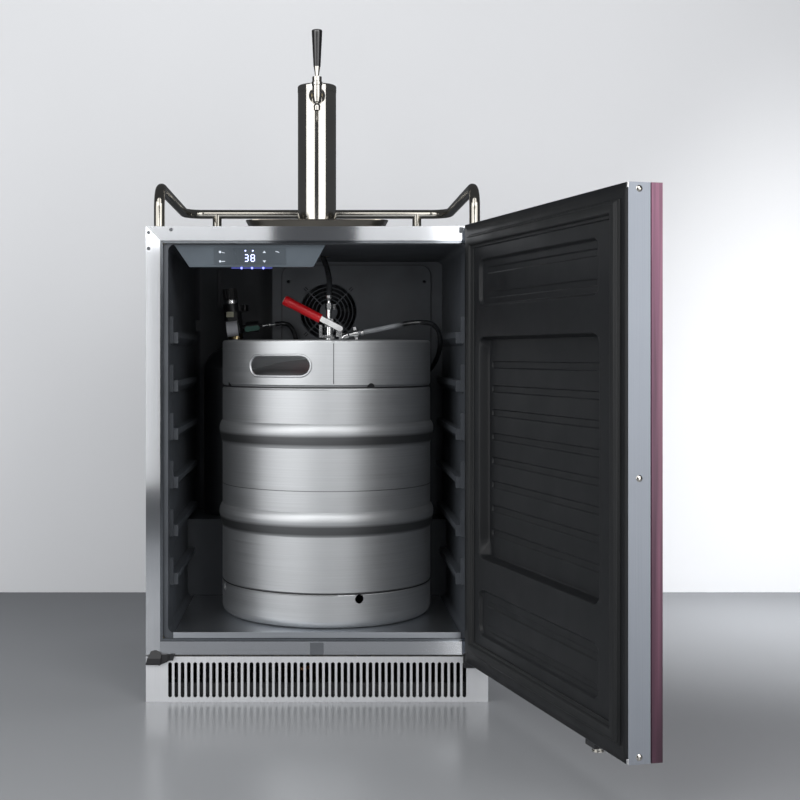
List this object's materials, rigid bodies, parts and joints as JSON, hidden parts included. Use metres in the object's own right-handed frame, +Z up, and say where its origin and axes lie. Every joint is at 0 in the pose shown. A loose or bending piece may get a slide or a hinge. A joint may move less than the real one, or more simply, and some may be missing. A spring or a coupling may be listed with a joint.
{
  "type": "kegerator",
  "caption": "Undercounter beer dispenser with open panelled door, keg, coupler, gas bottle, tap tower, drip tray and guard rail.",
  "frame": {"origin": "on the floor under the middle of the cabinet's front plane, at the foot of the kick plate", "axes": "+Z up, +Y from the front to the back, +X to the right seen from the front"},
  "size_m": [0.7519, 1.1741, 1.238],
  "materials": {
    "cabinet_steel": "vertical brushed",
    "back_sheet": "galvanised satin",
    "foam": "matte foam",
    "liner_plastic": "satin moulded",
    "frame_steel": "brushed",
    "floor_steel": "dark brushed",
    "black_plastic": "satin",
    "plug_grey": "satin",
    "black_paint": "satin",
    "control_grey": "satin",
    "display_face": "lit digits",
    "cover_plastic": "fine texture",
    "coil_aluminium": "thin fins",
    "copper": "drawn tube",
    "polished_steel": "polished, lightly brushed",
    "brass_fittings": "satin",
    "beer_hose": "smooth",
    "keg_steel": "satin rolled",
    "coupler_chrome": "polished",
    "gas_hose": "smoky, glossy",
    "bottle_aluminium": "satin",
    "gauge_white": "white dial",
    "gasket_rubber": "soft",
    "panel_wood": "stained veneer, satin",
    "white_nylon": "satin",
    "handle_black": "gloss",
    "grip_red": "soft gloss",
    "lever_green": "gloss"
  },
  "bodies": {
    "cabinet": {"side_panels": "cabinet_steel", "top_panel": "cabinet_steel", "back_panel": "back_sheet", "insulation": "foam", "inner_liner": "liner_plastic", "shelf_supports": "liner_plastic", "front_frame": "frame_steel", "floor_plate": "floor_steel", "kick_plate": "frame_steel", "base_pan": "black_paint", "levelling_feet": "black_plastic", "frame_plugs": "plug_grey", "hinge_brackets": "black_paint", "control_panel": "control_grey", "display": "display_face", "evaporator_cover": "cover_plastic", "fan_motors": "black_paint", "evaporator_coil": "coil_aluminium", "compressor": "black_paint", "condenser_coil": "black_paint", "refrigerant_lines": "copper", "power_inlet": "black_plastic", "guard_rail": "polished_steel", "tower_column": "polished_steel", "faucet_body": "polished_steel", "faucet_shank": "brass_fittings", "beer_line": "beer_hose", "keg_shell": "keg_steel", "keg_top_chime": "keg_steel", "keg_valve": "keg_steel", "coupler_body": "coupler_chrome", "coupler_tailpieces": "coupler_chrome", "gas_line": "gas_hose", "co2_cylinder": "bottle_aluminium", "co2_valve": "brass_fittings", "regulator_body": "black_paint", "pressure_gauge": "gauge_white", "gas_valve": "black_paint"},
    "door": {"door_frame": "frame_steel", "door_foam": "foam", "door_liner": "liner_plastic", "door_gasket": "gasket_rubber", "door_panel": "panel_wood", "door_screws": "polished_steel", "door_bushings": "white_nylon", "lock_housing": "black_plastic"},
    "door_lock": {"lock_cylinder": "polished_steel"},
    "tap": {"tap_lever": "polished_steel", "tap_handle": "handle_black"},
    "coupler_handle": {"coupler_lever": "coupler_chrome", "coupler_grip": "grip_red"},
    "probe": {"coupler_probe": "coupler_chrome"},
    "cold_fan": {"evaporator_fan": "black_plastic"},
    "warm_fan": {"condenser_fan": "black_plastic"},
    "tray": {"drip_tray": "polished_steel", "drip_grid": "polished_steel"},
    "cap": {"tower_cap": "polished_steel"},
    "handwheel": {"co2_handwheel": "black_plastic"},
    "knob": {"regulator_knob": "black_plastic"},
    "gas_lever": {"shutoff_lever": "lever_green"}
  },
  "joints": [
    {"name": "door_hinge", "type": "hinge", "parent": "cabinet", "child": "door", "pos_m": [0.2817, -0.0315, 0.45], "axis": [0, 0, 1], "range_deg": [-104.3, 8]},
    {"name": "lock_turn", "type": "hinge", "parent": "door", "child": "door_lock", "pos_m": [0.38992, -0.47831, 0.065], "axis": [0, 0, 1], "range_deg": [0, 90]},
    {"name": "tap_tilt", "type": "hinge", "parent": "cabinet", "child": "tap", "pos_m": [0, 0.243, 1.145], "axis": [1, 0, 0], "range_deg": [0, 25]},
    {"name": "coupler_lever_swing", "type": "hinge", "parent": "cabinet", "child": "coupler_handle", "pos_m": [0.023, 0.224, 0.6696], "axis": [0, 1, 0], "range_deg": [-48, 0]},
    {"name": "probe_slide", "type": "slide", "parent": "cabinet", "child": "probe", "axis": [0, 0, 1], "range_m": [-0.0121, 0]},
    {"name": "cold_fan_spin", "type": "hinge", "parent": "cabinet", "child": "cold_fan", "pos_m": [0.024, 0.457, 0.698], "axis": [0, 1, 0], "continuous": true},
    {"name": "warm_fan_spin", "type": "hinge", "parent": "cabinet", "child": "warm_fan", "pos_m": [-0.15, 0.121, 0.042], "axis": [0, 1, 0], "continuous": true},
    {"name": "tray_lift", "type": "slide", "parent": "cabinet", "child": "tray", "axis": [0, 0, 1], "range_m": [0, 0.08]},
    {"name": "cap_lift", "type": "slide", "parent": "cabinet", "child": "cap", "axis": [0, 0, 1], "range_m": [0, 0.05]},
    {"name": "handwheel_turn", "type": "hinge", "parent": "cabinet", "child": "handwheel", "pos_m": [-0.1715, 0.47, 0.7], "axis": [0, 0, 1], "range_deg": [-360, 0]},
    {"name": "knob_turn", "type": "hinge", "parent": "cabinet", "child": "knob", "pos_m": [-0.17881, 0.405, 0.73095], "axis": [-0.1219, 0, 0.9925], "range_deg": [-360, 360]},
    {"name": "gas_lever_turn", "type": "hinge", "parent": "cabinet", "child": "gas_lever", "pos_m": [-0.142, 0.39, 0.66092], "axis": [0, 1, 0], "range_deg": [0, 90]}
  ],
  "couplings": [
    {"joint": "probe_slide", "follows": "coupler_lever_swing", "m_per_rad": 0.01432}
  ]
}
